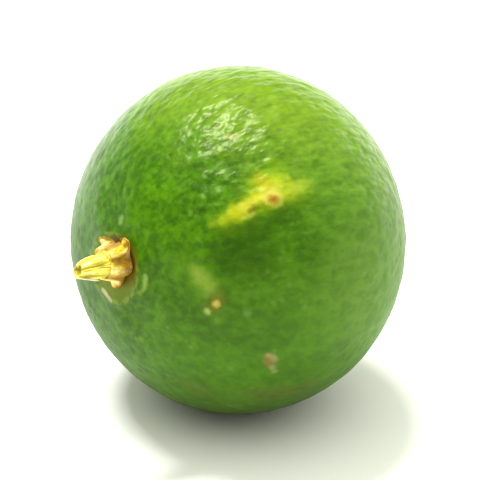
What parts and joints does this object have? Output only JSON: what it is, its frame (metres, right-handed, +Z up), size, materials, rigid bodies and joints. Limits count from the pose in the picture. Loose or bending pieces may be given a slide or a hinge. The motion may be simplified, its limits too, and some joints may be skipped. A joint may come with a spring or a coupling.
{
  "type": "calamansi fruit",
  "caption": "Small round green citrus fruit with a pebbled rind, lying on its side, with its lobed calyx and a short snapped stem.",
  "frame": {"origin": "middle of the small flat spot on the underside that the fruit rests on", "axes": "+Z up from the surface; the stem leaves the fruit towards -X and -Y, 12 degrees above the surface"},
  "size_m": [0.0288, 0.0288, 0.0297],
  "materials": {
    "rind": "satin",
    "husk": "matte",
    "stem": "matte"
  },
  "bodies": {
    "root": {"fruit": "rind", "calyx": "husk", "stem": "stem"}
  },
  "joints": []
}
